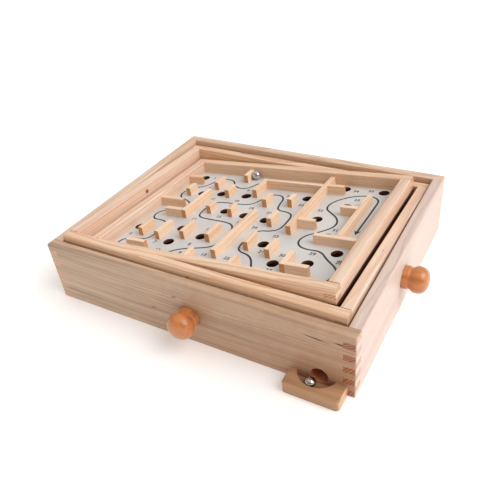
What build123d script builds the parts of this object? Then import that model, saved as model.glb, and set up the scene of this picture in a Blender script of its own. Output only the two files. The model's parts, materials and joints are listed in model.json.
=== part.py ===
from build123d import *
import math
import os

# Tilt maze game: a finger-jointed wooden box, a frame that rocks front to back in it, and a maze
# board that rocks side to side in the frame. Two knobs turn steel rods, and a cord wound on each
# rod pulls its frame over. A ball that drops through a hole lands on the sloping floor, rolls to
# the front right corner and comes out in the catch tray.
# Millimetres. X to the right, Y to the back, Z up. Everything is built about the middle of the box
# and moved at the end, so that the origin is the middle of the footprint, knobs included.

# box
box_width = 351.5
box_depth = 286.5
box_height = 71.8
wall = 11.75  # thickness of the box walls
corner_radius = 2.0
edge_radius = 1.5
finger_count = 10  # at each corner of the box, the two walls together

# sloping floor
floor_thickness = 3.0
floor_groove = 3.0  # how far the floor reaches into the walls
floor_low = 4.8  # top of the floor at the exit hole
floor_slope_x = 1.5  # degrees, falling to the right
floor_slope_y = 1.5  # degrees, falling to the front

# ball, exit hole and catch tray
ball_radius = 5.5
ball_clearance = 0.15  # ball to whatever it rests against
exit_radius = 8.5
exit_x = 142.0
tray_width = 55.5
tray_reach = 20.5  # from the front wall
tray_height = 12.0
tray_x = 140.8
tray_corner_radius = 4.0
tray_edge_radius = 1.5
recess_radius = 20.0
recess_x = 139.0
recess_inset = 6.0  # centre of the recess, behind the front wall's face
recess_floor = 3.5
tray_ball_x = 136.3
tray_ball_out = 7.5  # ball centre, in front of the front wall

# rocking frame and maze board
pivot_drop = 7.7  # below the rim of the box
frame_tilt = -2.8  # at rest, degrees about X
board_tilt = -5.25  # at rest, degrees about the frame's Y
rail_edge_radius = 1.4
frame_gap = 2.0  # box to frame, each side
frame_rail = 11.0
frame_rail_height = 20.0
frame_top = 8.0  # above the pivot
board_gap_side = 4.0  # frame to board, left and right
board_gap_end = 2.2  # frame to board, front and back
board_rail = 11.5
board_top = 8.4  # above the pivot
play_depth = 14.8  # rail tops down to the playing surface
board_thickness = 3.0  # the board lies under its rails, flush with their outer faces
sheet_thickness = 0.25
hole_radius = 6.25

# maze strips
strip = 5.8  # thickness
strip_height = 10.5
strip_edge_radius = 0.6

# pivots
pin_radius = 1.25
pin_clearance = 0.05
pin_grip = 7.0  # how far a pin is driven into what holds it
pin_head_radius = 2.4
pin_head = 1.0
pin_head_gap = 0.1

# knobs and rods
rod_radius = 1.5
rod_clearance = 0.05
rod_socket = 7.0  # blind bore in the far wall
rod_end_gap = 0.3
right_rod_y = -9.0
right_rod_drop = 27.1  # below the pivots
front_rod_x = 5.0
front_rod_drop = 30.4
knob_gap = 0.3  # knob to wall
knob_length = 25.0
knob_bore = 14.0
collar_radius = 12.2
collar_length = 5.0
neck_radius = 11.0
neck_at = 6.6
bulb_radius = 14.0
bulb_at = 13.5
clip_radius = 4.0
clip_thickness = 0.6
clip_gap = 0.2  # clip to wall

# cords, screw eyes and tension springs
cord_radius = 0.4
winding_turns = 3
winding_pitch = 0.9
frame_cord_x = 12.0
board_cord_y = -1.0
cord_end_gap = 0.15
eye_wire = 0.7  # wire radius
eye_radius = 2.6  # to the middle of the wire
eye_drop = 3.6  # ring centre, below what it is screwed into
eye_shank = 8.0  # screwed in
spring_radius = 2.0
spring_length = 16.0
spring_hook = 2.5

# worked out
pivot_height = box_height - pivot_drop
right_rod_z = pivot_height - right_rod_drop
front_rod_z = pivot_height - front_rod_drop
inside_x = box_width / 2 - wall
inside_y = box_depth / 2 - wall
frame_x = inside_x - frame_gap
frame_y = inside_y - frame_gap
frame_bottom = frame_top - frame_rail_height
board_x = frame_x - frame_rail - board_gap_side
board_y = frame_y - frame_rail - board_gap_end
play_x = board_x - board_rail
play_y = board_y - board_rail
play_z = board_top - play_depth
board_rail_bottom = play_z - sheet_thickness
board_bottom = board_rail_bottom - board_thickness
winding_radius = rod_radius + 2 * cord_radius
knob_reach = knob_gap + knob_length

frame_place = Location((0, 0, pivot_height), (frame_tilt, 0, 0))
board_place = frame_place * Location((0, 0, 0), (0, board_tilt, 0))
origin_place = Location((-knob_reach / 2, knob_reach / 2, 0))

# Holes in the maze board, as (x, y) from its middle.
holes = [
    (-125, 88), (-101, 46), (-74.5, 50), (-39.5, 51.5), (-44.5, 10), (-16, 6), (-127.5, -48.5),
    (-72.5, -39), (-39.5, -49.5), (-70, -69), (38.5, 62), (13.5, 2), (37, -45), (63.5, -75),
    (73, 95), (119.5, 95), (89.5, 53.5), (69.5, 18.5), (94, -13), (117, -41), (96.5, -65.5),
]

# Maze strips. Along Y: (x of its middle, from y, to y). Along X: (y of its middle, from x, to x).
# Strips that touch share a node; the ends that meet a rail or a neighbour are worked out from it.
right_spine = 54.0
centre_spine = 0.0
start_hook = -26.0
goal_strip = 113.0
goal_ledge = -27.0
left_hook = -85.0
corner_strip = 80.5
half = strip / 2

strips_along_y = {
    "start_wall": [(right_spine, -20, play_y), (start_hook, 50, 83)],
    "centre_wall": [(centre_spine, -84, 6)],
    "goal_wall": [(goal_strip, goal_ledge + half, 67)],
    "corner_wall": [(corner_strip, -87, -62)],
    "hook_wall": [(left_hook, -17, 42)],
    "short_wall_1": [(-59, 86, play_y)],
    "short_wall_2": [(-87, 59, 78)],
    "short_wall_3": [(-61, 42, 60)],
    "short_wall_4": [(-115, 36, 52)],
    "short_wall_5": [(-2, 30, 48)],
    "short_wall_6": [(27.5, 37, 52)],
    "short_wall_7": [(-61, 0, 14)],
    "short_wall_8": [(-31, -1, 14)],
    "short_wall_9": [(25.5, -10, 10)],
    "short_wall_10": [(-111, -66, -43)],
    "short_wall_11": [(-86, -68, -40)],
    "short_wall_12": [(-57, -60, -35)],
    "short_wall_13": [(-25, -58, -31)],
    "short_wall_14": [(25, -61, -38)],
    "short_wall_15": [(54, -68, -45)],
    "short_wall_16": [(-25, -play_y, -85)],
    "short_wall_17": [(31, -play_y, -86)],
}
strips_along_x = {
    "start_wall": [
        (80, start_hook + half, right_spine - half),
        (82, right_spine + half, 77),
        (-1, right_spine + half, 77),
    ],
    "goal_wall": [(goal_ledge, 87, play_x), (36, 91, goal_strip - half)],
    "corner_wall": [(-84, corner_strip + half, 107)],
    "hook_wall": [(-14, -112, left_hook - half)],
    "ledge_wall_1": [(71, -play_x, -116)],
    "ledge_wall_2": [(9, -play_x, -103)],
    "short_wall_18": [(-89, -110, -85)],
}


def block(x0, x1, y0, y1, z0, z1):
    middle = Pos((x0 + x1) / 2, (y0 + y1) / 2, (z0 + z1) / 2)
    return middle * Box(x1 - x0, y1 - y0, z1 - z0)


def rod_between(start, end, radius):
    start, end = Vector(*start), Vector(*end)
    along = end - start
    return Plane(start, z_dir=along) * extrude(Circle(radius), amount=along.length)


def top_edges(solid):
    return solid.edges().group_by(Axis.Z)[-1]


def save(name, shape, place=Location()):
    export_step(origin_place * place * shape, f"parts/{name}.step")


# ---- box ----


def floor_panel():
    lowest = Location((exit_x, -inside_y, floor_low), (floor_slope_y, floor_slope_x, 0))
    plate = lowest * Pos(0, 0, -floor_thickness / 2) * Box(3 * box_width, 3 * box_depth, floor_thickness)
    reach_x = inside_x + floor_groove
    reach_y = inside_y + floor_groove
    return plate & block(-reach_x, reach_x, -reach_y, reach_y, 0, box_height)


def box_shell():
    outer = block(-box_width / 2, box_width / 2, -box_depth / 2, box_depth / 2, 0, box_height)
    outer = fillet(outer.edges().filter_by(Axis.Z), corner_radius)
    shell = outer - block(-inside_x, inside_x, -inside_y, inside_y, -1, box_height + 1)
    return fillet(top_edges(shell), edge_radius)


def finger_bands(lowest):
    """Every other finger, as (from z, to z): the side walls own 0, 2, 4 and so on from below."""
    finger = box_height / finger_count
    return [(i * finger, (i + 1) * finger) for i in range(lowest, finger_count, 2)]


def corner_blocks(bands):
    blocks = []
    for side in (-1, 1):
        for end in (-1, 1):
            for low, high in bands:
                xs = sorted((side * inside_x, side * box_width / 2))
                ys = sorted((end * inside_y, end * box_depth / 2))
                blocks.append(block(*xs, *ys, low, high))
    return blocks


def end_wall(shell, end):
    ys = sorted((end * inside_y, end * box_depth / 2))
    slab = shell & block(-box_width / 2, box_width / 2, *ys, 0, box_height)
    return slab - corner_blocks(finger_bands(0))


def side_wall(shell, side):
    xs = sorted((side * inside_x, side * box_width / 2))
    slab = shell & block(*xs, -box_depth / 2, box_depth / 2, 0, box_height)
    return slab - corner_blocks(finger_bands(1))


def exit_bore():
    z = floor_low + exit_radius
    return rod_between((exit_x, -box_depth, z), (exit_x, -inside_y + 1, z), exit_radius)


def along_x(x0, x1, y, z, radius):
    return rod_between((x0, y, z), (x1, y, z), radius)


def along_y(y0, y1, x, z, radius):
    return rod_between((x, y0, z), (x, y1, z), radius)


def box_walls(panel):
    shell = box_shell()
    bore = rod_radius + rod_clearance
    front = end_wall(shell, -1) - panel - exit_bore()
    front -= along_y(-box_depth, -inside_y + 1, front_rod_x, front_rod_z, bore)
    back = end_wall(shell, 1) - panel
    back -= along_y(0, inside_y + rod_socket, front_rod_x, front_rod_z, bore)
    left = side_wall(shell, -1) - panel
    left -= along_x(0, -inside_x - rod_socket, right_rod_y, right_rod_z, bore)
    left -= along_x(0, -inside_x - pin_grip, 0, pivot_height, pin_radius)
    right = side_wall(shell, 1) - panel
    right -= along_x(inside_x - 1, box_width, right_rod_y, right_rod_z, bore)
    right -= along_x(0, inside_x + pin_grip, 0, pivot_height, pin_radius)
    return {"front_wall": front, "back_wall": back, "left_wall": left, "right_wall": right}


def catch_tray():
    front_y = -box_depth / 2
    x0 = tray_x - tray_width / 2
    tray = block(x0, x0 + tray_width, front_y - tray_reach, front_y, 0, tray_height)
    corners = tray.edges().filter_by(Axis.Z).group_by(Axis.Y)[0]
    tray = fillet(corners, tray_corner_radius)
    rim = top_edges(tray).sort_by(Axis.Y)[:-1]
    tray = fillet(rim, tray_edge_radius)
    recess = Pos(recess_x, front_y + recess_inset, recess_floor) * extrude(Circle(recess_radius), tray_height)
    return tray - recess


def frame_pivot_pins():
    pins = []
    for side in (-1, 1):
        face = frame_x - frame_rail - pin_head_gap
        pin = along_x(side * face, side * (inside_x + pin_grip), 0, pivot_height, pin_radius)
        head = along_x(side * (face - pin_head), side * face, 0, pivot_height, pin_head_radius)
        rim = head.edges().sort_by(Axis.X)[0 if side > 0 else -1]
        pins.append(pin + fillet(rim, pin_head * 0.7))
    return Compound(children=pins)


# ---- rails and eyes, in the frame's or the board's own level coordinates ----


def screw_eye(x, y, bottom, ring_axis):
    centre = Vector(x, y, bottom - eye_drop)
    ring = Plane(centre, z_dir=ring_axis) * Torus(eye_radius, eye_wire)
    shank = rod_between((x, y, centre.Z + eye_radius), (x, y, bottom + eye_shank), eye_wire)
    return ring + shank


def corner_fingers(half_x, half_y, thickness, top, bottom):
    finger = (top - bottom) / 3
    fingers = []
    for side in (-1, 1):
        for end in (-1, 1):
            xs = sorted((side * (half_x - thickness), side * half_x))
            ys = sorted((end * (half_y - thickness), end * half_y))
            fingers.append(block(*xs, *ys, bottom + finger, top - finger))
    return fingers


def rails(half_x, half_y, thickness, top, bottom):
    def rail(x0, x1, y0, y1, axis):
        bar = block(x0, x1, y0, y1, bottom, top)
        return fillet(bar.edges().filter_by(axis).group_by(Axis.Z)[-1], rail_edge_radius)

    inner_x, inner_y = half_x - thickness, half_y - thickness
    fingers = corner_fingers(half_x, half_y, thickness, top, bottom)
    return {
        "front_rail": rail(-half_x, half_x, -half_y, -inner_y, Axis.X) - fingers,
        "back_rail": rail(-half_x, half_x, inner_y, half_y, Axis.X) - fingers,
        "left_rail": rail(-half_x, -inner_x, -inner_y, inner_y, Axis.Y) + fingers[:2],
        "right_rail": rail(inner_x, half_x, -inner_y, inner_y, Axis.Y) + fingers[2:],
    }


def rocking_frame():
    made = rails(frame_x, frame_y, frame_rail, frame_top, frame_bottom)
    eyes = frame_eyes()
    for side, name in ((-1, "left_rail"), (1, "right_rail")):
        made[name] -= along_x(0, side * frame_x * 2, 0, 0, pin_radius + pin_clearance)
    for end, name in ((-1, "front_rail"), (1, "back_rail")):
        made[name] -= along_y(0, end * frame_y * 2, 0, 0, pin_radius)
        made[name] -= eyes
    return {f"frame_{name}": solid for name, solid in made.items()}


def frame_eyes():
    y = frame_y - frame_rail / 2
    return [screw_eye(frame_cord_x, end * y, frame_bottom, (1, 0, 0)) for end in (-1, 1)]


def board_pivot_pins():
    reach = board_y - pin_grip
    return Compound(children=[along_y(end * frame_y, end * reach, 0, 0, pin_radius) for end in (-1, 1)])


def hole_bores():
    return [Pos(*hole, play_z) * Cylinder(hole_radius, 4 * board_thickness) for hole in holes]


def maze_board():
    board = block(-board_x, board_x, -board_y, board_y, board_bottom, board_rail_bottom)
    return board - hole_bores() - board_eyes()


def printed_sheet():
    return block(-play_x, play_x, -play_y, play_y, board_rail_bottom, play_z) - hole_bores()


def board_rails():
    made = rails(board_x, board_y, board_rail, board_top, board_rail_bottom)
    for name in ("left_rail", "right_rail"):
        made[name] -= board_eyes()
    for end, name in ((-1, "front_rail"), (1, "back_rail")):
        bore = pin_radius + pin_clearance
        made[name] -= along_y(end * (board_y - pin_grip - rod_end_gap), end * board_y * 2, 0, 0, bore)
    return {f"board_{name}": solid for name, solid in made.items()}


def board_eyes():
    x = board_x - board_rail / 2
    return [screw_eye(side * x, board_cord_y, board_bottom, (0, 1, 0)) for side in (-1, 1)]


def maze_strip(x0, x1, y0, y1):
    bar = block(x0, x1, y0, y1, play_z, play_z + strip_height)
    return fillet(top_edges(bar), strip_edge_radius)


def maze_walls():
    walls = {}
    for name, strips in strips_along_y.items():
        for x, start, end in strips:
            walls.setdefault(name, []).append(maze_strip(x - half, x + half, start, end))
    for name, strips in strips_along_x.items():
        for y, start, end in strips:
            walls.setdefault(name, []).append(maze_strip(start, end, y - half, y + half))
    return {name: Compound(children=solids) for name, solids in walls.items()}


# ---- knobs and rods, along +Z from the outside face of the wall ----


def knob():
    end_z = knob_gap + knob_length
    neck = (neck_radius, knob_gap + neck_at)
    bulb = (bulb_radius, knob_gap + bulb_at)
    collar_end = (collar_radius, knob_gap + collar_length)
    edge = Polyline((0, end_z), (0, knob_gap), (collar_radius, knob_gap), collar_end)
    hollow = Spline(collar_end, neck, tangents=((-0.3, 1), (0, 1)))
    shoulder = Spline(neck, bulb, tangents=((0.2, 1), (0, 1)))
    crown = Spline(bulb, (0, end_z), tangents=((0, 1), (-1, 0)))
    outline = make_face(edge + hollow + shoulder + crown)
    body = revolve(Plane.XZ * outline, Axis.Z)
    return body - Pos(0, 0, knob_gap) * extrude(Circle(rod_radius), knob_bore)


def knob_rod(inside, outside):
    length = knob_gap + knob_bore + outside + inside + rod_socket - rod_end_gap
    return Pos(0, 0, knob_gap + knob_bore - length) * extrude(Circle(rod_radius), length)


def rod_clip():
    disc = extrude(Circle(clip_radius) - Circle(rod_radius), clip_thickness)
    return Pos(0, 0, -wall - clip_gap - clip_thickness) * disc


def cord_winding(depth):
    length = winding_turns * winding_pitch
    sleeve = extrude(Circle(winding_radius) - Circle(rod_radius), length)
    return Pos(0, 0, -depth - length / 2) * sleeve


# ---- cords: from one screw eye to the rod, and from the rod through a spring to the other eye ----


def cord_parts(first_eye, second_eye, rod_axis_point, first_side):
    """The runs leave the underside of the winding; first_side is the way from the rod to the first eye."""
    under = Vector(*rod_axis_point) - Vector(0, 0, rod_radius + cord_radius)
    leave = math.sqrt(winding_radius**2 - rod_radius**2) + cord_end_gap
    ring = eye_radius + eye_wire + cord_end_gap
    out = Vector(*first_side)
    run_1_start = under + out * leave
    run_1_end = first_eye - (first_eye - run_1_start).normalized() * ring
    run_2_start = under - out * leave
    back = (second_eye - run_2_start).normalized()
    hook_end = second_eye - back * ring
    spring_end = hook_end - back * spring_hook
    spring_start = spring_end - back * spring_length
    hook_start = spring_start - back * spring_hook
    runs = [
        rod_between(run_1_start, run_1_end, cord_radius),
        rod_between(run_2_start, hook_start, cord_radius),
    ]
    hooks = rod_between(hook_start, hook_end, cord_radius)
    spring = hooks + rod_between(spring_start, spring_end, spring_radius)
    return Compound(children=runs), spring


def eye_centres(place, points):
    return [(place * Pos(*point)).position for point in points]


def frame_cord():
    y = frame_y - frame_rail / 2
    z = frame_bottom - eye_drop
    eyes = eye_centres(frame_place, [(frame_cord_x, -y, z), (frame_cord_x, y, z)])
    return cord_parts(*eyes, (frame_cord_x, right_rod_y, right_rod_z), (0, -1, 0))


def board_cord():
    x = board_x - board_rail / 2
    z = board_bottom - eye_drop
    eyes = eye_centres(board_place, [(-x, board_cord_y, z), (x, board_cord_y, z)])
    return cord_parts(*eyes, (front_rod_x, board_cord_y, front_rod_z), (-1, 0, 0))


def ball():
    return Sphere(ball_radius)


# ---- the whole game, one file for each piece ----

os.makedirs("parts", exist_ok=True)

panel = floor_panel()
save("floor_panel", panel)
for name, solid in box_walls(panel).items():
    save(name, solid)
save("catch_tray", catch_tray())
save("frame_pivot_pins", frame_pivot_pins())

for name, solid in rocking_frame().items():
    save(name, solid, frame_place)
save("frame_screw_eyes", Compound(children=frame_eyes()), frame_place)
save("board_pivot_pins", board_pivot_pins(), frame_place)

save("maze_board", maze_board(), board_place)
save("printed_sheet", printed_sheet(), board_place)
for name, solid in board_rails().items():
    save(name, solid, board_place)
save("board_screw_eyes", Compound(children=board_eyes()), board_place)
for name, solid in maze_walls().items():
    save(name, solid, board_place)

right_place = Location((box_width / 2, right_rod_y, right_rod_z), (0, 90, 0))
save("right_knob", knob(), right_place)
save("right_rod", knob_rod(inside_x, inside_x + wall), right_place)
save("right_rod_clip", rod_clip(), right_place)
save("frame_cord_winding", cord_winding(box_width / 2 - frame_cord_x), right_place)

front_place = Location((front_rod_x, -box_depth / 2, front_rod_z), (90, 0, 0))
save("front_knob", knob(), front_place)
save("front_rod", knob_rod(inside_y, inside_y + wall), front_place)
save("front_rod_clip", rod_clip(), front_place)
save("board_cord_winding", cord_winding(box_depth / 2 + board_cord_y), front_place)

frame_runs, frame_spring = frame_cord()
save("frame_cord", frame_runs)
save("frame_cord_spring", frame_spring)
board_runs, board_spring = board_cord()
save("board_cord", board_runs)
save("board_cord_spring", board_spring)

short_wall_face = strips_along_y["short_wall_1"][0][0] + half
ball_rest = ball_radius + ball_clearance
ball_start = (short_wall_face + ball_rest, play_y - ball_rest, play_z + ball_rest)
save("maze_ball", ball(), board_place * Pos(*ball_start))
tray_ball_place = Pos(tray_ball_x, -box_depth / 2 - tray_ball_out, recess_floor + ball_rest)
save("tray_ball", ball(), tray_ball_place)
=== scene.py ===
import json
import math
import random

import bmesh
import bpy
from mathutils import Matrix, Vector

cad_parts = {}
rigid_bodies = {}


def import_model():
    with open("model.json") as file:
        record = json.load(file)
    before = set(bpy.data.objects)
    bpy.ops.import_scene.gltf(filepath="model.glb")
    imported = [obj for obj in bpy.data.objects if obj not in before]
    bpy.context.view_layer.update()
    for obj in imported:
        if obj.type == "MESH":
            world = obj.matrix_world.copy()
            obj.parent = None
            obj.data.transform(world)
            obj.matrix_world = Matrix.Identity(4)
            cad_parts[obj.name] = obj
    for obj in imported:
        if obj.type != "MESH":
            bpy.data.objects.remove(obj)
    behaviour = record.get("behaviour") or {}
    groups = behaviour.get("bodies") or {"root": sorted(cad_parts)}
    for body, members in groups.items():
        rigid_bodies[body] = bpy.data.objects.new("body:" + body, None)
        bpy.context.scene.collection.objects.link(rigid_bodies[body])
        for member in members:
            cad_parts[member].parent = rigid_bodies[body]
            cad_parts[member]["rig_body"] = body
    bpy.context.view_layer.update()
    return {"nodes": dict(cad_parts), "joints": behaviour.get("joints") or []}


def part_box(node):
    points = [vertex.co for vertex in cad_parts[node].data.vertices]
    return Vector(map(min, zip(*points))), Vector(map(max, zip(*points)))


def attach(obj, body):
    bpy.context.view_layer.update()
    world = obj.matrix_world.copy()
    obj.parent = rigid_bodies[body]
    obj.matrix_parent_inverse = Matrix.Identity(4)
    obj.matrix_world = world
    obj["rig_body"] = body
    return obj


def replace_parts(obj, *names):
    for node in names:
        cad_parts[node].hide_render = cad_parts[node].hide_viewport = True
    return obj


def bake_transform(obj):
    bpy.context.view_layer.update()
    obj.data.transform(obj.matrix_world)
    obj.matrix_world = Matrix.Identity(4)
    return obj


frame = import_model()
nodes = frame["nodes"]
joints = {joint["name"]: joint for joint in frame["joints"]}
mm = 0.001
toMm = (1 / mm, 1 / mm, 1 / mm)
print("frame loaded:", len(nodes), "nodes")

# where the frame and the board lie at rest, worked out from their joints
pivot = Vector(joints["frame_tilt"]["pos_m"])
frameY = Vector(joints["board_tilt"]["axis"])
boardX = Vector(joints["maze_ball_roll"]["axis"])
frameTilt = math.atan2(frameY.z, frameY.y)
boardTilt = -math.atan2(boardX.z / math.cos(frameTilt), boardX.x)
framePlace = Matrix.Translation(pivot) @ Matrix.Rotation(frameTilt, 4, "X")
boardPlace = framePlace @ Matrix.Rotation(boardTilt, 4, "Y")
sheetTop = max((boardPlace.inverted() @ v.co).z for v in nodes["printed_sheet"].data.vertices)


def srgb(red, green, blue):
    def linear(c):
        c = c / 255
        return c / 12.92 if c <= 0.04045 else ((c + 0.055) / 1.055) ** 2.4

    return (linear(red), linear(green), linear(blue), 1)


def newPiece(name, verts, faces, material, smooth=False):
    mesh = bpy.data.meshes.new(name)
    mesh.from_pydata([tuple(v) for v in verts], [], faces)
    mesh.validate()
    cleaner = bmesh.new()
    cleaner.from_mesh(mesh)
    bmesh.ops.recalc_face_normals(cleaner, faces=cleaner.faces)
    cleaner.to_mesh(mesh)
    cleaner.free()
    for polygon in mesh.polygons:
        polygon.use_smooth = smooth
    mesh.materials.append(material)
    piece = bpy.data.objects.new(name, mesh)
    bpy.context.scene.collection.objects.link(piece)
    return piece


class Wiring:
    # short names for the shader nodes that the materials are wired from
    def __init__(self, name):
        self.material = bpy.data.materials.new(name)
        self.material.use_nodes = True
        self.tree = self.material.node_tree
        self.shader = self.tree.nodes["Principled BSDF"]

    def add(self, kind, **settings):
        node = self.tree.nodes.new(kind)
        for key, value in settings.items():
            setattr(node, key, value)
        return node

    def plug(self, socket, value):
        if hasattr(value, "is_output"):
            self.tree.links.new(value, socket)
        else:
            socket.default_value = value

    def maths(self, operation, a, b=0.0):
        node = self.add("ShaderNodeMath", operation=operation)
        for socket, value in zip(node.inputs, (a, b)):
            self.plug(socket, value)
        return node.outputs[0]

    def mix(self, share, a, b, blend="MIX"):
        node = self.add("ShaderNodeMix", data_type="RGBA", blend_type=blend)
        self.plug(node.inputs[0], share)
        self.plug(node.inputs[6], a)
        self.plug(node.inputs[7], b)
        return node.outputs[2]

    def split(self, vector):
        node = self.add("ShaderNodeSeparateXYZ")
        self.plug(node.inputs[0], vector)
        return node.outputs

    def stretch(self, vector, scale, offset=(0, 0, 0), turn=(0, 0, 0)):
        node = self.add("ShaderNodeMapping")
        self.plug(node.inputs["Vector"], vector)
        node.inputs["Scale"].default_value = scale
        node.inputs["Location"].default_value = offset
        node.inputs["Rotation"].default_value = turn
        return node.outputs[0]

    def noise(self, vector, detail=3.0, rough=0.5, distortion=0.0):
        node = self.add("ShaderNodeTexNoise")
        self.plug(node.inputs["Vector"], vector)
        node.inputs["Scale"].default_value = 1.0
        node.inputs["Detail"].default_value = detail
        node.inputs["Roughness"].default_value = rough
        node.inputs["Distortion"].default_value = distortion
        return node.outputs[0]

    def ramp(self, value, stops):
        node = self.add("ShaderNodeValToRGB")
        self.plug(node.inputs[0], value)
        bar = node.color_ramp
        while len(bar.elements) < len(stops):
            bar.elements.new(0.5)
        for element, (place, level) in zip(bar.elements, stops):
            element.position = place
            element.color = (level, level, level, 1)
        return node.outputs[0]

    def spread(self, value, low, high, newLow=0.0, newHigh=1.0):
        node = self.add("ShaderNodeMapRange")
        self.plug(node.inputs[0], value)
        for socket, number in zip(list(node.inputs)[1:5], (low, high, newLow, newHigh)):
            socket.default_value = number
        return node.outputs[0]

    def bump(self, height, strength, distance):
        node = self.add("ShaderNodeBump")
        node.inputs["Strength"].default_value = strength
        node.inputs["Distance"].default_value = distance
        self.plug(node.inputs["Height"], height)
        return node.outputs[0]

    def finish(self, colour, roughness, normal=None, **fixed):
        self.plug(self.shader.inputs["Base Color"], colour)
        self.plug(self.shader.inputs["Roughness"], roughness)
        if normal is not None:
            self.plug(self.shader.inputs["Normal"], normal)
        for key, value in fixed.items():
            self.shader.inputs[key.replace("_", " ")].default_value = value
        return self.material


woodLook = {
    "early": srgb(247, 219, 188),
    "late": srgb(204, 132, 82),
    "streak": srgb(204, 150, 106),  # broad greyer streaks along the grain
    "streakContrast": 0.45,
    "streakWidth": 7,  # mm
    "endEarly": srgb(226, 188, 154),
    "endLate": srgb(176, 122, 88),
    "ringSpacing": 3.0,  # mm
    "ringContrast": 0.8,
    "ringUneven": 2.6,  # rings by which the spacing varies
    "fibreContrast": 0.16,
    "wander": 14,  # mm that the rings stray over the length of a board
    "ripple": 0.25,  # share of the wander that comes in short waves
    "pithAside": (8, 34),  # mm from the board to the middle of the tree, sideways
    "pithDeep": (46, 80),  # and up or down
    "bandContrast": 0.3,
    "fleckContrast": 0.22,
    "roughness": 0.46,
    "relief": 0.35,
    "reliefDepth": 0.00012,  # metres
    "coat": 0.12,
}

# how dark a growth ring is, from its pale side to its dark edge
ringProfile = [(0.0, 0.0), (0.45, 0.1), (0.8, 0.7), (0.93, 1.0), (1.0, 0.05)]

# noises of the wood: repeats for a mm along and across the grain, detail, roughness and offset
woodFigure = {
    "stray": (0.0045, 0.012, 2, 0.5, (0, 0, 0)),
    "ripple": (0.014, 0.05, 2, 0.6, (40, 7, 3)),
    "strength": (0.004, 0.03, 2, 0.5, (9, 9, 9)),  # where the rings show more
    "fibre": (0.035, 1.4, 5, 0.65, (0, 0, 0)),
    "fleck": (0.09, 2.0, 1, 0.5, (5, 31, 17)),
    "band": (0.006, 0.04, 2, 0.5, (3, 1, 8)),
    "pores": (0.4, 2.6, 3, 0.7, (0, 0, 0)),
}


def grainTurn(along, place):
    # turn that levels a tilted piece and brings its own grain direction to X
    levelling = {"box": (0, 0), "frame": (-frameTilt, 0), "board": (-frameTilt, -boardTilt)}[place]
    return (levelling[0], levelling[1], -math.pi / 2 if along == "y" else 0)


def grainCentre(node, turn):
    low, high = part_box(node)
    aboutX, aboutY, aboutZ = (Matrix.Rotation(angle, 3, axis) for angle, axis in zip(turn, "XYZ"))
    return aboutZ @ aboutY @ aboutX @ ((low + high) / 2 / mm)


def woodMarkOrPaintedShade(n, position, mark):
    # a knot, fine crack or broad painted shade: a soft ellipsoid with a wobbly outline
    wobbleScale, wobbleAmount = 0.12, 0.6
    slanted = n.stretch(position, (1, 1, 1), tuple(-c for c in mark["at"]))
    slanted = n.stretch(slanted, (1, 1, 1), (0, 0, 0), (0, math.radians(mark.get("lean", 0)), 0))
    scaled = n.stretch(slanted, tuple(1 / r for r in mark["size"]))
    wobble = n.noise(n.stretch(position, (wobbleScale, wobbleScale, wobbleScale)), 2)
    wobble = n.maths("MULTIPLY", n.maths("SUBTRACT", wobble, 0.5), wobbleAmount)
    length = n.add("ShaderNodeVectorMath", operation="LENGTH")
    n.plug(length.inputs[0], scaled)
    far = n.maths("ADD", length.outputs["Value"], wobble)
    return n.spread(far, mark["core"], 1.0, mark["strength"], 0.0)


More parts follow.
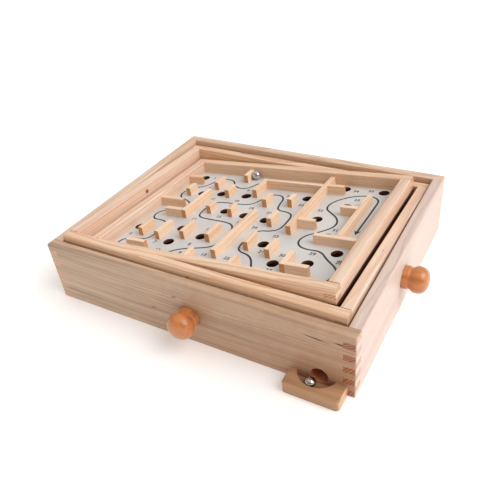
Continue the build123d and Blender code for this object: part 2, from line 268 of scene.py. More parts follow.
def woodMaterial(name, along, place, centre, pith=None, marks=(), **changes):
    look = {**woodLook, **changes}
    dice = random.Random(name)
    n = Wiring(name)
    coords = n.add("ShaderNodeTexCoord")
    turn = grainTurn(along, place)
    pith = pith or [dice.choice((-1, 1)) * dice.uniform(*look[way]) for way in ("pithAside", "pithDeep")]
    trunk = 900  # mm either way, so that no two boards are cut from the same place
    shift = (dice.uniform(-trunk, trunk), -centre[1] - pith[0], -centre[2] - pith[1])
    level = n.stretch(coords.outputs["Object"], toMm, shift, turn)
    facing = n.stretch(coords.outputs["Normal"], (1, 1, 1), (0, 0, 0), turn)

    def figure(part):
        along, across, detail, rough, offset = woodFigure[part]
        return n.noise(n.stretch(level, (along, across, across), offset), detail, rough)

    # growth rings about a pith outside the board, which stray slowly along the grain
    parts = n.split(level)
    stray = n.maths("MULTIPLY", n.maths("SUBTRACT", figure("stray"), 0.5), look["wander"])
    rippleSize = look["wander"] * look["ripple"]
    ripple = n.maths("MULTIPLY", n.maths("SUBTRACT", figure("ripple"), 0.5), rippleSize)
    across = n.maths("MULTIPLY", parts[1], parts[1])
    deep = n.maths("MULTIPLY", parts[2], parts[2])
    radius = n.maths("SQRT", n.maths("ADD", across, deep))
    radius = n.maths("ADD", n.maths("ADD", radius, stray), ripple)
    radius = n.maths("DIVIDE", radius, look["ringSpacing"])
    joined = n.add("ShaderNodeCombineXYZ")
    n.plug(joined.inputs[0], radius)
    uneven = n.noise(n.stretch(joined.outputs[0], (0.35, 1, 1)), 2)
    radius = n.maths("ADD", radius, n.maths("MULTIPLY", uneven, look["ringUneven"]))
    ring = n.ramp(n.maths("FRACT", radius), ringProfile)
    line = n.maths("MULTIPLY", ring, n.spread(figure("strength"), 0.3, 0.7, 0.25, 1.0))
    # fine fibres along the grain, short resin flecks, and broad warmer bands
    fibre = figure("fibre")
    fleck = n.ramp(figure("fleck"), [(0.0, 0.0), (0.64, 0.0), (0.74, 1.0)])
    colour = n.mix(n.maths("MULTIPLY", line, look["ringContrast"]), look["early"], look["late"])
    shade = n.spread(fibre, 0.3, 0.7, 1 - look["fibreContrast"], 1 + look["fibreContrast"] * 0.4)
    grey = n.add("ShaderNodeCombineColor")
    for socket in list(grey.inputs)[:3]:
        n.plug(socket, shade)
    colour = n.mix(1.0, colour, grey.outputs[0], "MULTIPLY")
    band = n.spread(figure("band"), 0.35, 0.75, 0.0, look["bandContrast"])
    colour = n.mix(band, colour, look["late"])
    narrow = 1 / look["streakWidth"]
    streak = n.noise(n.stretch(level, (0.004, narrow, narrow), (70, 2, 5)), 3, 0.55)
    colour = n.mix(n.spread(streak, 0.46, 0.72, 0.0, look["streakContrast"]), colour, look["streak"])
    colour = n.mix(n.maths("MULTIPLY", fleck, look["fleckContrast"]), colour, look["endLate"])
    # end grain: the same rings, darker, with open pores
    isEnd = n.spread(n.maths("ABSOLUTE", n.split(facing)[0]), 0.62, 0.86)
    endColour = n.mix(ring, look["endEarly"], look["endLate"])
    endColour = n.mix(n.spread(figure("pores"), 0.45, 0.75, 0.0, 0.5), endColour, look["endLate"])
    colour = n.mix(isEnd, colour, endColour)
    position = n.stretch(coords.outputs["Object"], toMm)
    # the marks paint knots and cracks, and the front wall's painted shade
    for mark in marks:
        colour = n.mix(woodMarkOrPaintedShade(n, position, mark), colour, mark["colour"])
    height = n.maths("ADD", n.maths("MULTIPLY", fibre, 0.6), n.maths("MULTIPLY", line, 0.25))
    rough = n.spread(fibre, 0.3, 0.7, look["roughness"] - 0.05, look["roughness"] + 0.08)
    relief = n.bump(height, look["relief"], look["reliefDepth"])
    return n.finish(colour, rough, relief, Coat_Weight=look["coat"], Coat_Roughness=0.28, IOR=1.46)


sheetLook = {
    "paper": srgb(218, 216, 214),
    "shade": srgb(203, 201, 199),
    "speck": srgb(170, 168, 166),
    "worn": srgb(230, 229, 228),
    "roughness": 0.5,
}


def sheetMaterial():
    n = Wiring("printedSheet")
    coords = n.add("ShaderNodeTexCoord").outputs["Object"]
    soft = n.noise(n.stretch(coords, (18, 18, 18)))
    fine = n.noise(n.stretch(coords, (900, 900, 900)), 3, 0.6)
    scuff = n.noise(n.stretch(coords, (60, 320, 60)), 4, 0.6)
    colour = n.mix(n.spread(soft, 0.35, 0.7), sheetLook["paper"], sheetLook["shade"])
    colour = n.mix(n.spread(fine, 0.4, 0.75, 0.0, 0.12), colour, sheetLook["speck"])
    colour = n.mix(n.spread(scuff, 0.62, 0.78, 0.0, 0.25), colour, sheetLook["worn"])
    rough = n.spread(scuff, 0.4, 0.75, sheetLook["roughness"], sheetLook["roughness"] + 0.12)
    return n.finish(colour, rough, n.bump(fine, 0.2, 0.00004), Coat_Weight=0.08)


inkLook = {"ink": srgb(24, 25, 28), "faded": srgb(60, 60, 64), "roughness": 0.5}


def inkMaterial():
    n = Wiring("printedInk")
    coords = n.add("ShaderNodeTexCoord").outputs["Object"]
    patch = n.noise(n.stretch(coords, (700, 700, 700)), 3, 0.6)
    colour = n.mix(n.spread(patch, 0.45, 0.8, 0.0, 0.3), inkLook["ink"], inkLook["faded"])
    rough = n.spread(patch, 0.3, 0.7, inkLook["roughness"] - 0.05, inkLook["roughness"] + 0.1)
    return n.finish(colour, rough)


steelLook = {"steel": srgb(196, 197, 200), "dull": srgb(140, 140, 142), "roughness": 0.24}


def steelMaterial():
    n = Wiring("drawnSteel")
    coords = n.add("ShaderNodeTexCoord").outputs["Object"]
    drawn = n.noise(n.stretch(coords, (2600, 2600, 2600)), 2, 0.5)
    spots = n.noise(n.stretch(coords, (110, 110, 110)), 3, 0.6)
    colour = n.mix(n.spread(spots, 0.45, 0.8, 0.0, 0.4), steelLook["steel"], steelLook["dull"])
    rough = n.spread(drawn, 0.3, 0.7, steelLook["roughness"] - 0.04, steelLook["roughness"] + 0.06)
    return n.finish(colour, rough, n.bump(drawn, 0.05, 0.00001), Metallic=1.0)


pinLook = {"reddishTone": srgb(176, 92, 66), "worn": srgb(132, 70, 52), "roughness": 0.4}


def pinMaterial():
    # reddish-brown head of the left pivot pin
    n = Wiring("reddishPinHead")
    coords = n.add("ShaderNodeTexCoord").outputs["Object"]
    rub = n.noise(n.stretch(coords, (900, 900, 900)), 3, 0.6)
    colour = n.mix(n.spread(rub, 0.4, 0.7), pinLook["reddishTone"], pinLook["worn"])
    return n.finish(colour, pinLook["roughness"], n.bump(rub, 0.2, 0.00003))


ballLook = {"chrome": srgb(206, 206, 209), "smear": srgb(170, 170, 174), "roughness": 0.04}


def ballMaterial():
    n = Wiring("ballChrome")
    coords = n.add("ShaderNodeTexCoord").outputs["Object"]
    smear = n.noise(n.stretch(coords, (260, 420, 260)), 3, 0.6)
    colour = n.mix(n.spread(smear, 0.4, 0.8, 0.0, 0.3), ballLook["chrome"], ballLook["smear"])
    rough = n.spread(smear, 0.4, 0.75, ballLook["roughness"], ballLook["roughness"] + 0.07)
    return n.finish(colour, rough, Metallic=1.0)


cordLook = {"light": srgb(226, 218, 200), "dark": srgb(168, 156, 134), "roughness": 0.8}


def cordMaterial():
    n = Wiring("twistedCord")
    coords = n.add("ShaderNodeTexCoord").outputs["Object"]
    fuzz = n.noise(n.stretch(coords, (2500, 2500, 2500)), 3, 0.6)
    colour = n.mix(n.spread(fuzz, 0.35, 0.7), cordLook["light"], cordLook["dark"])
    rough = n.spread(fuzz, 0.3, 0.7, cordLook["roughness"] - 0.08, cordLook["roughness"] + 0.1)
    return n.finish(colour, rough, n.bump(fuzz, 0.5, 0.0001), Sheen_Weight=0.3)


plyLook = {
    # face and dark are darkened as painted shade, for the floor seen under the board; edge is painted
    # shade
    "face": srgb(158, 104, 74),
    "dark": srgb(116, 70, 48),
    "edge": srgb(84, 44, 30),
    "layer": 0.75,  # mm
}


def plyMaterial(name, place, centre):
    # light face veneer, a darker cross ply, and cut edges darkened as painted shade, for the walls of the
    # holes
    n = Wiring(name)
    coords = n.add("ShaderNodeTexCoord")
    turn = grainTurn("x", place)
    level = n.stretch(coords.outputs["Object"], toMm, (0, 0, -centre[2]), turn)
    facing = n.stretch(coords.outputs["Normal"], (1, 1, 1), (0, 0, 0), turn)
    figure = n.noise(n.stretch(level, (0.012, 0.3, 0.3)), 4, 0.6, 0.4)
    fibre = n.noise(n.stretch(level, (0.06, 2.0, 2.0)), 4, 0.6)
    face = n.mix(n.spread(figure, 0.38, 0.66, 0.0, 0.55), plyLook["face"], plyLook["dark"])
    face = n.mix(n.spread(fibre, 0.4, 0.8, 0.0, 0.2), face, plyLook["dark"])
    plies = n.maths("FRACT", n.maths("DIVIDE", n.split(level)[2], 2 * plyLook["layer"]))
    cross = n.ramp(plies, [(0.0, 0.0), (0.46, 0.0), (0.52, 1.0), (0.96, 1.0), (1.0, 0.0)])
    # uneven painted shade over the cut edges
    paintedShadeNoise = n.noise(n.stretch(level, (0.5, 0.5, 2.5)), 3, 0.6)
    edge = n.mix(n.maths("MULTIPLY", cross, 0.6), plyLook["dark"], plyLook["edge"])
    edge = n.mix(n.spread(paintedShadeNoise, 0.35, 0.7, 0.3, 0.9), edge, plyLook["edge"])
    isEdge = n.spread(n.maths("ABSOLUTE", n.split(facing)[2]), 0.6, 0.4)
    colour = n.mix(isEdge, face, edge)
    height = n.maths("ADD", fibre, n.maths("MULTIPLY", cross, isEdge))
    rough = n.spread(fibre, 0.3, 0.7, 0.56, 0.7)
    return n.finish(colour, rough, n.bump(height, 0.3, 0.00012))


print("materials ready")

# marks in the wood and a broad painted shade: at is in mm in the frame, size is half of each length, lean
# is in degrees
wallFace = -130.6  # mm, outside of the front wall
# shade is painted shade: a broad brown darkening over the right part of the front wall
shade = {"core": 0.0, "strength": 0.6, "colour": srgb(166, 110, 72)}
crack = {"core": 0.6, "strength": 0.95, "colour": srgb(70, 38, 24)}
knot = {"core": 0.3, "strength": 0.75, "colour": srgb(96, 60, 42)}
paleKnot = {**knot, "colour": srgb(184, 116, 74)}
wallMarksAndPaintedShade = {
    "front_wall": [
        {**shade, "at": (185, wallFace, 10), "size": (290, 60, 150)},
        {**crack, "at": (125, wallFace, 58.2), "size": (14, 2, 0.9), "lean": -4},
        {**crack, "at": (152, wallFace, 59.7), "size": (10.5, 2, 1.15), "lean": -3},
        {**knot, "at": (-52.8, wallFace, 29.5), "size": (5, 3, 1.3), "lean": 18},
        {**knot, "at": (-22.6, wallFace, 53.3), "size": (4.5, 3, 1.1), "lean": 18},
    ],
    "frame_right_rail": [{**paleKnot, "at": (144.4, -10.1, 71), "size": (1.6, 3.2, 4)}],
}

paleEnds = {"endEarly": srgb(234, 208, 186), "endLate": srgb(208, 172, 142)}
darkEnds = {"endEarly": srgb(190, 124, 86), "endLate": srgb(78, 38, 24), "ringSpacing": 2.6}
softEnds = {"endEarly": srgb(226, 186, 154), "endLate": srgb(172, 112, 80)}
plainSide = {"early": srgb(234, 208, 182), "late": srgb(190, 134, 96), "streak": srgb(176, 138, 108)}
# paler, greyer tones for the right wall: painted light for the side that faces the key light
sidePaintedLight = {"early": srgb(229, 211, 200), "late": srgb(200, 164, 146), "streak": srgb(198, 174, 160)}
# paler pinkish tones for the rails along Y: painted light for their sides lit by the key light
railPaintedLight = {"early": srgb(245, 221, 199), "late": srgb(206, 146, 108), "streak": srgb(200, 154, 124)}
# darker tones for the front wall: painted shade for the face turned away from the light
frontPaintedShade = {"early": srgb(214, 187, 160), "late": srgb(162, 118, 85), "streak": srgb(138, 110, 90)}
trayWood = {"early": srgb(198, 154, 114), "late": srgb(152, 104, 70), "streak": srgb(140, 108, 84)}

# what each wooden node's grain runs along, what it lies level with, and how its look differs
woodPieces = {
    "front_wall": ("x", "box", {**paleEnds, **frontPaintedShade, "streakContrast": 0.7, "streakWidth": 9}),
    "back_wall": ("x", "box", {**paleEnds, **plainSide}),
    "left_wall": ("y", "box", {**softEnds, **plainSide, "pith": (50, -55)}),
    "right_wall": ("y", "box", {**sidePaintedLight, **darkEnds, "pith": (-50, -55)}),
    "catch_tray": ("x", "box", trayWood),
    "frame_front_rail": ("x", "frame", {}),
    "frame_back_rail": ("x", "frame", {}),
    "frame_left_rail": ("y", "frame", railPaintedLight),
    "frame_right_rail": ("y", "frame", railPaintedLight),
    "board_front_rail": ("x", "board", {}),
    "board_back_rail": ("x", "board", {}),
    "board_left_rail": ("y", "board", railPaintedLight),
    "board_right_rail": ("y", "board", railPaintedLight),
}


def dress(node, *materials):
    mesh = nodes[node].data
    mesh.materials.clear()
    for material in materials:
        mesh.materials.append(material)


def dressWood():
    for node, (along, place, changes) in woodPieces.items():
        centre = grainCentre(node, grainTurn(along, place))
        marks = wallMarksAndPaintedShade.get(node, ())
        dress(node, woodMaterial(node + "Pine", along, place, centre, marks=marks, **changes))


boreLook = {"early": srgb(226, 142, 106), "late": srgb(176, 98, 70), "endEarly": srgb(196, 120, 88)}

# where the faces of the exit bore lie in the front wall, in metres
borePlace = {
    "fromPivot": 0.12,
    "fromEnd": 0.02,
    "lowest": 0.0045,
    "highest": 0.024,
    "inside": 0.0005,
    "facing": 0.3,  # the faces turn less than this to the front or back
}


def dressBore():
    # the inside of the exit bore is redder than the wall
    mesh = nodes["front_wall"].data
    low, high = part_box("front_wall")
    centre = grainCentre("front_wall", grainTurn("x", "box"))
    mesh.materials.append(woodMaterial("exitBore", "x", "box", centre, **boreLook))
    for polygon in mesh.polygons:
        middle = polygon.center
        inside = low.y + borePlace["inside"] < middle.y < high.y - borePlace["inside"]
        aside = pivot.x + borePlace["fromPivot"] < middle.x < high.x - borePlace["fromEnd"]
        level = borePlace["lowest"] < middle.z < borePlace["highest"]
        if inside and aside and level and abs(polygon.normal.y) < borePlace["facing"]:
            polygon.material_index = 1


stripLook = {
    "early": srgb(254, 231, 203),
    "late": srgb(222, 152, 98),
    "streak": srgb(226, 176, 130),
    "endEarly": srgb(222, 168, 116),
    "endLate": srgb(168, 108, 66),
    "ringSpacing": 2.2,
    "wander": 8,
    "streakWidth": 3,
}


def looseParts(mesh):
    # numbers the separate solids of a mesh; split corners share a place, so places are joined, not indices
    apart = 0.000005  # metres
    parent = {}

    def top(key):
        while parent[key] != key:
            parent[key] = parent[parent[key]]
            key = parent[key]
        return key

    keys = [tuple(round(c / apart) for c in v.co) for v in mesh.vertices]
    for key in keys:
        parent.setdefault(key, key)
    for polygon in mesh.polygons:
        first = top(keys[polygon.vertices[0]])
        for index in polygon.vertices:
            parent[top(keys[index])] = first
    return [top(keys[polygon.vertices[0]]) for polygon in mesh.polygons]


def dressStrips():
    level = boardPlace.inverted()
    for node in sorted(name for name in nodes if name.endswith("_wall") or "_wall_" in name):
        if nodes[node].get("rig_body") != "board":
            continue
        mesh = nodes[node].data
        materials = []
        for along in ("x", "y"):
            centre = grainCentre(node, grainTurn(along, "board"))
            name = f"{node}Strip{along.upper()}"
            materials.append(woodMaterial(name, along, "board", centre, **stripLook))
        dress(node, *materials)
        owner = looseParts(mesh)
        spans = {}
        for polygon, part in zip(mesh.polygons, owner):
            for index in polygon.vertices:
                spans.setdefault(part, []).append(level @ mesh.vertices[index].co)
        longY = {}
        for part, points in spans.items():
            wide = max(p.x for p in points) - min(p.x for p in points)
            deep = max(p.y for p in points) - min(p.y for p in points)
            longY[part] = deep > wide
        for polygon, part in zip(mesh.polygons, owner):
            polygon.material_index = 1 if longY[part] else 0


knobLook = {
    "early": srgb(214, 136, 74),
    "late": srgb(164, 86, 40),
    "streak": srgb(138, 72, 36),
    "streakContrast": 0.6,
    "endEarly": srgb(210, 132, 72),
    "endLate": srgb(184, 106, 54),
    "ringSpacing": 2.0,
    "ringContrast": 0.45,
    "fibreContrast": 0.1,
    "wander": 4,
    "roughness": 0.34,
    "coat": 0.55,
}


def dressFittings():
    steel, chrome = steelMaterial(), ballMaterial()
    for node in ("right_knob", "front_knob"):
        along = "x" if node == "right_knob" else "y"
        centre = grainCentre(node, grainTurn(along, "box"))
        dress(node, woodMaterial(node + "Beech", along, "box", centre, pith=(9, 22), **knobLook))
    steelNodes = ("board_pivot_pins", "frame_screw_eyes", "board_screw_eyes")
    for node in steelNodes + ("right_rod", "front_rod", "right_rod_clip", "front_rod_clip"):
        dress(node, steel)
    for node in ("maze_ball", "tray_ball"):
        dress(node, chrome)
    dress("frame_pivot_pins", steel, pinMaterial())
    for polygon in nodes["frame_pivot_pins"].data.polygons:
        polygon.material_index = 1 if polygon.center.x < pivot.x else 0
    dress("printed_sheet", sheetMaterial())
    for node, name, place in (("maze_board", "mazeBoardPly", "board"), ("floor_panel", "floorPly", "box")):
        dress(node, plyMaterial(name, place, grainCentre(node, grainTurn("x", place))))
    return steel


dressWood()
dressBore()
dressStrips()
steel = dressFittings()
print("CAD nodes dressed")

# printed line from the start to the arrow, in mm from the middle of the board
pathPrint = {
    "width": 2.1,
    "lift": 0.02,
    "points": [
        (-39, 91), (-45, 80), (-50, 70), (-63, 70), (-72, 77), (-77, 86), (-85, 90), (-95, 90),
        (-103, 86), (-105, 75), (-110, 65), (-118, 60), (-128, 50), (-130, 40), (-125, 30), (-115, 26),
        (-103, 20), (-98, 10), (-100, 0), (-112, -4), (-126, -8), (-129, -18), (-124, -28), (-112, -28),
        (-102, -31), (-98, -40), (-97, -60), (-100, -70), (-108, -73), (-117, -73), (-128, -78),
        (-130, -88), (-124, -97), (-100, -99), (-72, -99), (-60, -93), (-55, -85), (-48, -79),
        (-40, -75), (-28, -71), (-17, -66), (-12, -58), (-12, -30), (-17, -18), (-28, -13), (-60, -12),
        (-70, -9), (-73, 0), (-73, 22), (-65, 30), (-33, 30), (-22, 33), (-17, 42), (-12, 58), (-5, 63),
        (5, 62), (11, 54), (12, 40), (16, 27), (30, 26), (39, 20), (40, 0), (39, -13), (30, -19),
        (20, -20), (14, -28), (13, -50), (15, -60), (20, -65), (32, -68), (40, -76), (46, -88),
        (55, -96), (85, -98), (115, -96), (126, -88), (130, -75), (126, -65), (112, -54), (100, -41),
        (85, -42), (74, -38), (69, -28), (72, -17), (82, -8), (92, 3), (95, 14), (90, 26), (80, 35),
        (70, 43), (69, 55), (75, 67), (88, 79), (103, 84), (112, 83), (120, 76), (121, 65), (121, 4),
    ],
    "arrowTip": (121, -3),
    "arrowLong": 9,
    "arrowWide": 7.5,
    "arrowNotch": 0.78,  # share of its length
}


def rounded(points, times=3):
    # cuts the corners of a polyline, keeping its ends
    for _ in range(times):
        softer = [points[0]]
        for a, b in zip(points, points[1:]):
            softer += [a.lerp(b, 0.25), a.lerp(b, 0.75)]
        points = softer + [points[-1]]
    return points


def printPath(ink):
    verts, faces = [], []
    half = pathPrint["width"] / 2
    z = sheetTop / mm + pathPrint["lift"]
    line = rounded([Vector((*point, 0)) for point in pathPrint["points"]])
    for index, point in enumerate(line):
        before, after = line[max(index - 1, 0)], line[min(index + 1, len(line) - 1)]
        ahead = (after - before).normalized()
        aside = Vector((-ahead.y, ahead.x, 0)) * half
        verts += [point + aside, point - aside]
    for index in range(len(line) - 1):
        a = 2 * index
        faces.append((a, a + 1, a + 3, a + 2))
    tip = Vector((*pathPrint["arrowTip"], 0))
    long, wide, notch = (pathPrint[key] for key in ("arrowLong", "arrowWide", "arrowNotch"))
    start = len(verts)
    for corner in ((0, 0), (wide / 2, long), (0, long * notch), (-wide / 2, long)):
        verts.append(tip + Vector((*corner, 0)))
    faces += [(start, start + 1, start + 2), (start, start + 2, start + 3)]
    placed = [boardPlace @ Vector((v.x * mm, v.y * mm, z * mm)) for v in verts]
    piece = newPiece("printedPath", placed, faces, ink)
    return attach(piece, "board")


# hole numbers: what is printed, and where its middle is in mm from the middle of the board
numberPrint = {
    "height": 4.9,
    "fontSize": 1.4,  # for each mm of a digit's height
    "weight": 0.16,  # mm added all round each digit
    "lift": 0.02,
    "turned": {"28": 90},  # degrees
    "places": [
        ("1", -111, 90), ("2", -101, 61), ("3", -100, 30), ("9", -45, 66), ("4", -128, -33),
        ("5", -128, -66), ("6", -128, -82), ("7", -86, -74), ("8", -43, -67), ("9", -43, -85),
        ("10", -45, 37), ("11", -78, 35), ("12", -72, -87), ("13", -15, -81), ("14", -40, -33),
        ("15", -45, -4), ("16", -72, -16), ("17", -14, -10), ("18", -45, 24), ("19", -17, 24),
        ("20", 14, 63), ("21", 10, 19), ("22", 38, 45), ("23", 42, -27), ("24", 10, -16),
        ("25", 13, -80), ("26", 42, -59), ("27", 65, -87), ("28", 125, -55), ("29", 94, -48),
        ("30", 66, -59), ("31", 98, 1), ("32", 65, 38), ("33", 96, 71), ("34", 87, 92), ("35", 104, 96),
    ],
}


def printNumbers(ink):
    verts, faces = [], []
    z = sheetTop + numberPrint["lift"] * mm
    for text, x, y in numberPrint["places"]:
        curve = bpy.data.curves.new("digits", "FONT")
        curve.body = text
        curve.size = numberPrint["height"] * numberPrint["fontSize"] * mm
        curve.align_x, curve.align_y = "CENTER", "CENTER"
        curve.offset = numberPrint["weight"] * mm
        carrier = bpy.data.objects.new("digits", curve)
        shape = bpy.data.meshes.new_from_object(carrier)
        turn = Matrix.Rotation(math.radians(numberPrint["turned"].get(text, 0)), 4, "Z")
        place = boardPlace @ Matrix.Translation((x * mm, y * mm, z)) @ turn
        start = len(verts)
        verts += [place @ v.co for v in shape.vertices]
        faces += [tuple(start + i for i in polygon.vertices) for polygon in shape.polygons]
        bpy.data.objects.remove(carrier)
        bpy.data.meshes.remove(shape)
        bpy.data.curves.remove(curve)
    piece = newPiece("printedNumbers", verts, faces, ink)
    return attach(piece, "board")


ink = inkMaterial()
printPath(ink)
printNumbers(ink)
print("path and numbers printed")

# the cords and their springs, in mm
cordWork = {
    "radius": 0.4,
    "wound": 1.9,  # from the middle of the rod to the middle of the cord
    "turns": 3.3,
    "pitch": 0.86,
    "tuck": 1.4,  # how far a run reaches on under the winding
    "loop": 1.1,
    "knotFrom": 2.2,  # before the loop
    "knotTo": 0.2,
    "knotRadius": 0.45,
    "knotTurns": 2.5,
    "steps": 30,
    "sides": 10,
}
springWork = {"radius": 1.72, "wire": 0.26, "turns": 26, "hook": 2.5, "hookRadius": 1.3, "hookTurn": 0.9}


def tube(path, radius, sides):
    # a closed-ended tube of even thickness that follows the points, with no twist
    verts, faces = [], []
    ahead = (path[1] - path[0]).normalized()
    aside = ahead.orthogonal().normalized()
    for index, point in enumerate(path):
        before, after = path[max(index - 1, 0)], path[min(index + 1, len(path) - 1)]
        ahead = (after - before).normalized()
        aside = (aside - ahead * aside.dot(ahead)).normalized()
        other = ahead.cross(aside)
        for side in range(sides):
            angle = 2 * math.pi * side / sides
            verts.append(point + (aside * math.cos(angle) + other * math.sin(angle)) * radius)
    for ring in range(len(path) - 1):
        for side in range(sides):
            a, b = ring * sides + side, ring * sides + (side + 1) % sides
            faces.append((a, b, b + sides, a + sides))
    last = (len(path) - 1) * sides
    faces.append(tuple(reversed(range(sides))))
    faces.append(tuple(range(last, last + sides)))
    return verts, faces


def tubePiece(name, paths, radius, sides, material):
    verts, faces = [], []
    for path in paths:
        more, rings = tube(path, radius, sides)
        start = len(verts)
        verts += more
        faces += [tuple(start + i for i in face) for face in rings]
    return newPiece(name, verts, faces, material, smooth=True)


def nodeEnds(node, axis, side, split):
    # middle points of the two ends of the run of a node that lies on one side of a plane across an axis
    points = [v.co for v in nodes[node].data.vertices if (v.co[axis] - split) * side > 0]
    low, high = min(p[axis] for p in points), max(p[axis] for p in points)
    reach = 0.0003  # metres; the points this near to an end belong to it
    ends = []
    for edge in (low, high):
        near = [p for p in points if abs(p[axis] - edge) < reach]
        ends.append(sum(near, Vector()) / len(near))
    return ends if side > 0 else ends[::-1]


def helix(start, end, radius, turns, steps=14):
    ahead = (end - start).normalized()
    aside = ahead.orthogonal().normalized()
    other = ahead.cross(aside)
    count = int(turns * steps)
    path = []
    for step in range(count + 1):
        angle = 2 * math.pi * turns * step / count
        middle = start.lerp(end, step / count)
        path.append(middle + (aside * math.cos(angle) + other * math.sin(angle)) * radius)
    return path


def ringPath(centre, ahead, radius, turn=1.0, steps=24):
    # a ring, or part of one, that starts on the side facing back along the run
    side = ahead.orthogonal().normalized()
    path = []
    for step in range(round(steps * turn) + 1):
        angle = math.pi + 2 * math.pi * step / steps
        path.append(centre + (ahead * math.cos(angle) + side * math.sin(angle)) * radius)
    return path


def cordRun(start, end):
    # a straight run of cord, the loop at its far end and the knot that closes the loop
    ahead = (end - start).normalized()
    steps = cordWork["steps"]
    straight = [start.lerp(end, step / steps) for step in range(steps + 1)]
    loop = ringPath(end + ahead * cordWork["loop"] * mm, ahead, cordWork["loop"] * mm)
    knotStart, knotEnd = end - ahead * cordWork["knotFrom"] * mm, end - ahead * cordWork["knotTo"] * mm
    knot = helix(knotStart, knotEnd, cordWork["knotRadius"] * mm, cordWork["knotTurns"])
    return [straight, loop, knot]


def springPaths(start, end):
    # a close-wound tension spring with a hook at each end
    ahead = (end - start).normalized()
    coilStart, coilEnd = start + ahead * springWork["hook"] * mm, end - ahead * springWork["hook"] * mm
    coil = helix(coilStart, coilEnd, springWork["radius"] * mm, springWork["turns"])
    hooks = []
    wide = springWork["hookRadius"]
    for base, out in ((coilStart, -ahead), (coilEnd, ahead)):
        hooks.append(ringPath(base + out * wide * mm, out, wide * mm, springWork["hookTurn"]))
    return [coil] + hooks


def strand(name, paths, radius, material, node):
    piece = tubePiece(name, paths, radius * mm, cordWork["sides"], material)
    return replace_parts(piece, node)


def cordSet(label, rodNode, axis, control, cord, wire):
    # axis is the one that the cord runs along; the rod lies across it
    low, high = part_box(rodNode)
    split = ((low + high) / 2)[axis]
    first = nodeEnds(label + "_cord", axis, -1, split)
    second = nodeEnds(label + "_cord", axis, 1, split)
    spring = nodeEnds(label + "_cord_spring", axis, 1, split)
    shift = Vector((0, 0, 0))
    shift[1 - axis] = cordWork["pitch"] * mm
    starts = []
    for ends, sign in ((first, -1), (second, 1)):
        starts.append(ends[0] - (ends[1] - ends[0]).normalized() * cordWork["tuck"] * mm + shift * sign)
    cordNode, springNode = label + "_cord", label + "_cord_spring"
    thick, thin = cordWork["radius"], springWork["wire"]
    run = strand(label + "CordRun", cordRun(starts[0], first[1]), thick, cord, cordNode)
    tail = strand(label + "CordTail", cordRun(starts[1], spring[0]), thick, cord, cordNode)
    coil = strand(label + "Spring", springPaths(*spring), thin, wire, springNode)
    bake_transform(run)
    for piece in (tail, coil):
        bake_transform(piece)
    low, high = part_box(label + "_cord_winding")
    middle = (low + high) / 2
    half = Vector((0, 0, 0))
    half[1 - axis] = cordWork["turns"] * cordWork["pitch"] * mm / 2
    turns = helix(middle - half, middle + half, cordWork["wound"] * mm, cordWork["turns"], steps=20)
    winding = strand(label + "Winding", [turns], thick, cord, label + "_cord_winding")
    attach(winding, control)


cord = cordMaterial()
cordSet("frame", "right_rod", 1, "right_control", cord, steel)
cordSet("board", "front_rod", 0, "front_control", cord, steel)
print("cords and springs strung")

# metres, degrees, and the lens in mm for a sensor of that width
cameraPlace = {
    "at": (0.26965, -0.43665, 0.3995),
    "azimuth": 32.97,
    "elevation": 35.86,
    "roll": 6.42,
    "lens": 40.17,
    "sensor": 36,
    "nearest": 0.01,
}


def placeCamera():
    azimuth, elevation, roll = (math.radians(cameraPlace[k]) for k in ("azimuth", "elevation", "roll"))
    level = math.cos(elevation)
    back = Vector((math.sin(azimuth) * level, -math.cos(azimuth) * level, math.sin(elevation)))
    right = Vector((0, 0, 1)).cross(back).normalized()
    up = back.cross(right)
    # rolling lowers the right-hand side of the view
    tiltedRight = right * math.cos(roll) - up * math.sin(roll)
    tiltedUp = up * math.cos(roll) + right * math.sin(roll)
    data = bpy.data.cameras.new("viewCamera")
    data.lens = cameraPlace["lens"]
    data.sensor_width = cameraPlace["sensor"]
    data.clip_start = cameraPlace["nearest"]
    camera = bpy.data.objects.new("viewCamera", data)
    camera.matrix_world = Matrix(
        (
            (tiltedRight.x, tiltedUp.x, back.x, cameraPlace["at"][0]),
            (tiltedRight.y, tiltedUp.y, back.y, cameraPlace["at"][1]),
            (tiltedRight.z, tiltedUp.z, back.z, cameraPlace["at"][2]),
            (0, 0, 0, 1),
        )
    )
    bpy.context.scene.collection.objects.link(camera)
    bpy.context.scene.camera = camera


studio = {
    "floor": srgb(252, 252, 252),
    "floorMottle": srgb(249, 249, 249),
    "floorSize": 12,  # metres from the middle to each side
    "floorGlow": 0.2,
    "skyTop": 0.74,
    "skyFront": 0.04,
    "backdrop": (0.16, 0.3),  # sine of the height where it starts to fade, and where it ends
    "backdropGlow": 0.97,
    "skyLean": 0.8,  # how much darker the sky is in front of the box than behind it
    "frontTint": (1.0, 0.7, 0.42, 1),
    "sun": 1.85,
    "sunAngle": 45,
    "sunFrom": (0.74, 0.06, 0.8),
    "sunTint": (1.0, 0.985, 0.99),
}


def placeFloor():
    size = studio["floorSize"]
    corners = [(-size, -size, 0), (size, -size, 0), (size, size, 0), (-size, size, 0)]
    n = Wiring("studioFloor")
    coords = n.add("ShaderNodeTexCoord").outputs["Object"]
    mottled = n.noise(n.stretch(coords, (3, 3, 3)), 2)
    colour = n.mix(n.spread(mottled, 0.3, 0.7), studio["floor"], studio["floorMottle"])
    n.plug(n.shader.inputs["Emission Color"], studio["floor"])
    n.shader.inputs["Emission Strength"].default_value = studio["floorGlow"]
    material = n.finish(colour, 0.9, Specular_IOR_Level=0.1)
    newPiece("studioFloor", corners, [(0, 1, 2, 3)], material)


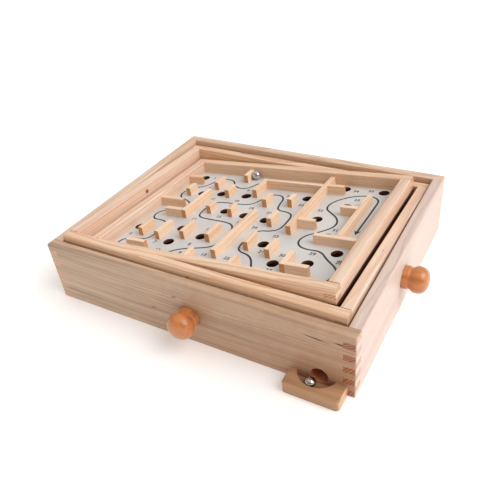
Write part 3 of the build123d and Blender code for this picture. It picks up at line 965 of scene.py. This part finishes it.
def placeSky():
    world = bpy.data.worlds.new("studioSky")
    world.use_nodes = True
    bpy.context.scene.world = world
    tree = world.node_tree
    tree.nodes.clear()
    coords = tree.nodes.new("ShaderNodeTexCoord")
    parts = tree.nodes.new("ShaderNodeSeparateXYZ")
    lean = tree.nodes.new("ShaderNodeMath")
    lean.operation = "MULTIPLY_ADD"
    lean.inputs[1].default_value = studio["skyLean"]
    rising = tree.nodes.new("ShaderNodeMapRange")
    rising.inputs[1].default_value = -studio["skyLean"]
    rising.inputs[2].default_value = 1.0
    level = tree.nodes.new("ShaderNodeMapRange")
    level.inputs[3].default_value = studio["skyFront"]
    level.inputs[4].default_value = studio["skyTop"]
    # the lowest part of the sky is a pale backdrop all round
    low = tree.nodes.new("ShaderNodeMapRange")
    for socket, number in zip(list(low.inputs)[1:5], (*studio["backdrop"], 1, 0)):
        socket.default_value = number
    strength = tree.nodes.new("ShaderNodeMix")
    strength.inputs[3].default_value = studio["backdropGlow"]
    tint = tree.nodes.new("ShaderNodeMix")
    tint.data_type = "RGBA"
    tint.inputs[6].default_value = studio["frontTint"]
    tint.inputs[7].default_value = (1, 1, 1, 1)
    paler = tree.nodes.new("ShaderNodeMix")
    paler.data_type = "RGBA"
    paler.inputs[7].default_value = (1, 1, 1, 1)
    back = tree.nodes.new("ShaderNodeBackground")
    out = tree.nodes.new("ShaderNodeOutputWorld")
    for start, end in (
        (coords.outputs["Generated"], parts.inputs[0]),
        (parts.outputs[1], lean.inputs[0]),
        (parts.outputs[2], lean.inputs[2]),
        (lean.outputs[0], rising.inputs[0]),
        (rising.outputs[0], level.inputs[0]),
        (rising.outputs[0], tint.inputs[0]),
        (parts.outputs[2], low.inputs[0]),
        (low.outputs[0], strength.inputs[0]),
        (level.outputs[0], strength.inputs[2]),
        (strength.outputs[0], back.inputs["Strength"]),
        (low.outputs[0], paler.inputs[0]),
        (tint.outputs[2], paler.inputs[6]),
        (paler.outputs[2], back.inputs["Color"]),
        (back.outputs[0], out.inputs[0]),
    ):
        tree.links.new(start, end)


def placeKeyLight():
    data = bpy.data.lights.new("keyLight", "SUN")
    data.energy = studio["sun"]
    data.angle = math.radians(studio["sunAngle"])
    data.color = studio["sunTint"]
    key = bpy.data.objects.new("keyLight", data)
    key.rotation_euler = Vector(studio["sunFrom"]).to_track_quat("Z", "Y").to_euler()
    bpy.context.scene.collection.objects.link(key)


placeCamera()
bpy.context.scene.view_settings.view_transform = "Standard"
placeFloor()
placeSky()
placeKeyLight()
print("camera and lights placed")
